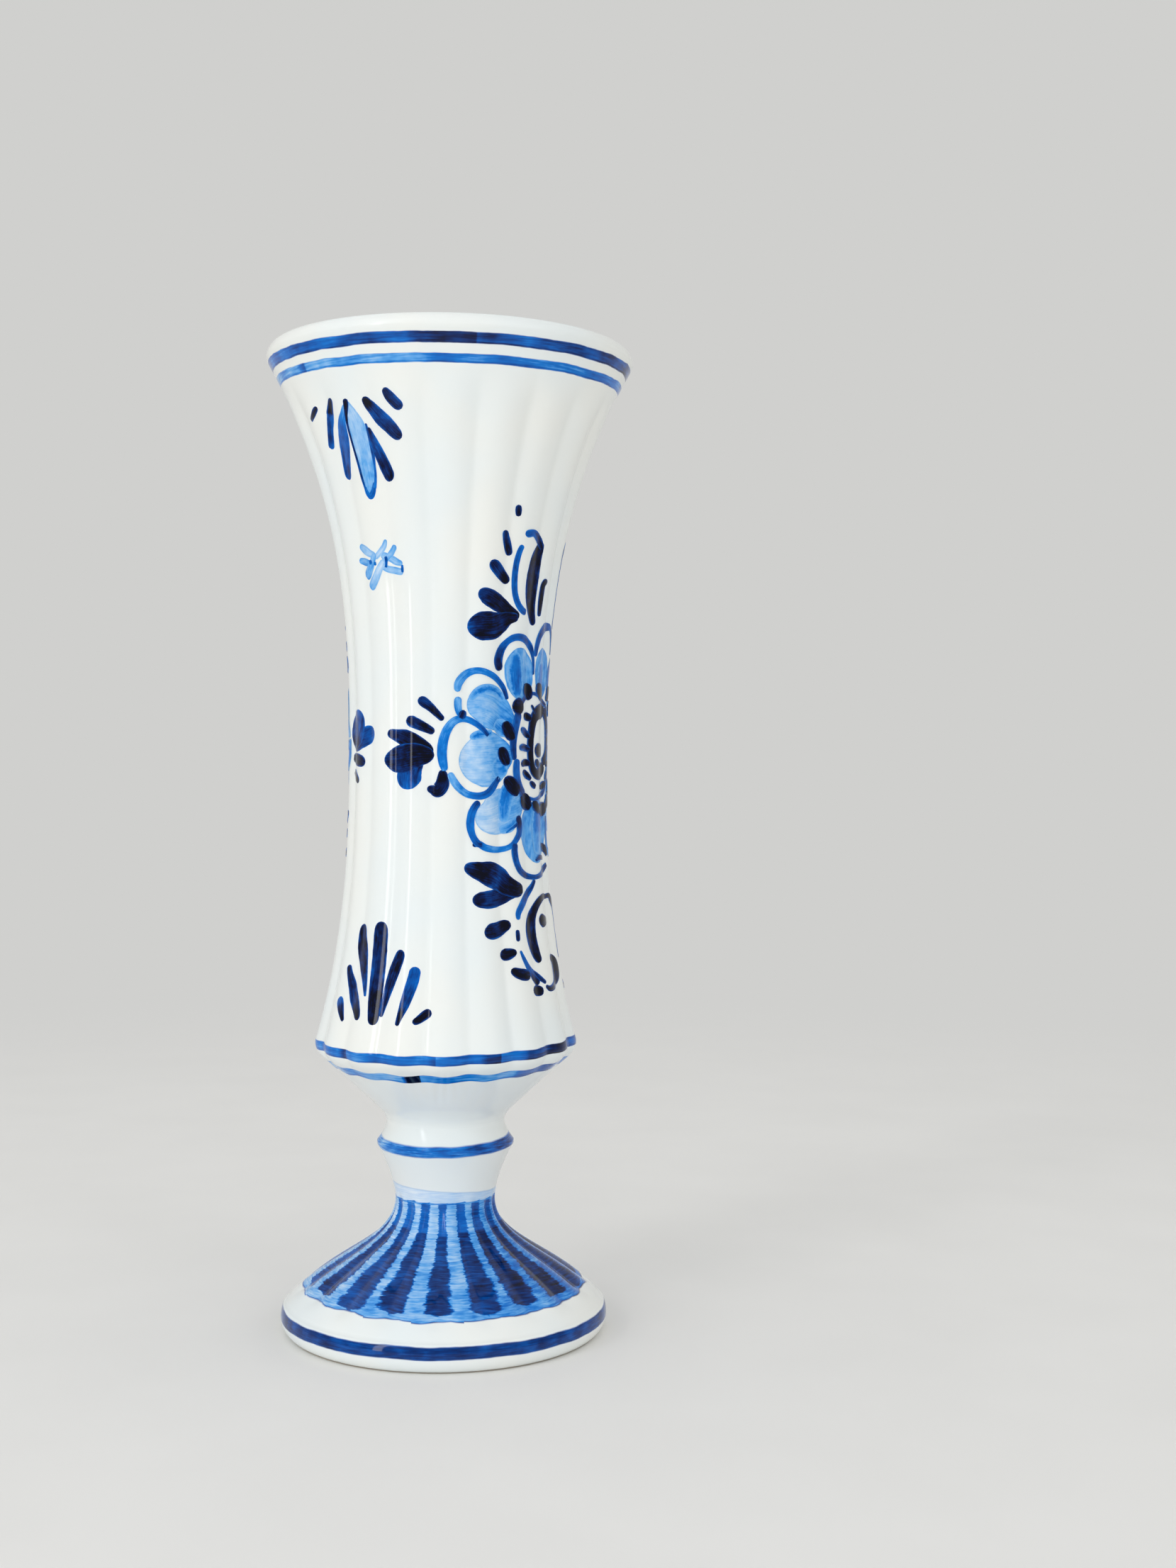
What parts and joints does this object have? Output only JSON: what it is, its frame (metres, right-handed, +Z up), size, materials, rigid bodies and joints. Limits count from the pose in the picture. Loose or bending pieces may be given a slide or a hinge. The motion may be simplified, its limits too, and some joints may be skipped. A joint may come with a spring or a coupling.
{
  "type": "bud vase",
  "caption": "Slender glazed earthenware bud vase: fluted trumpet body with a sharp shoulder, luted onto a gadrooned pedestal foot with a collar.",
  "frame": {"origin": "centre of the foot's underside, on the surface that the vase stands on", "axes": "+Z up along the vase's axis to the mouth, -Y towards the painted front, +X to the front's right"},
  "size_m": [0.0692, 0.0692, 0.1848],
  "materials": {
    "body_glaze": "glossy white glaze, hand-painted in cobalt blue",
    "foot_glaze": "glossy white glaze, brushed over with blue and dark blue stripes",
    "joint_slip": "fired slip under the glaze"
  },
  "bodies": {
    "root": {"trumpet_body": "body_glaze", "luting_slip": "joint_slip", "pedestal_foot": "foot_glaze"}
  },
  "joints": []
}
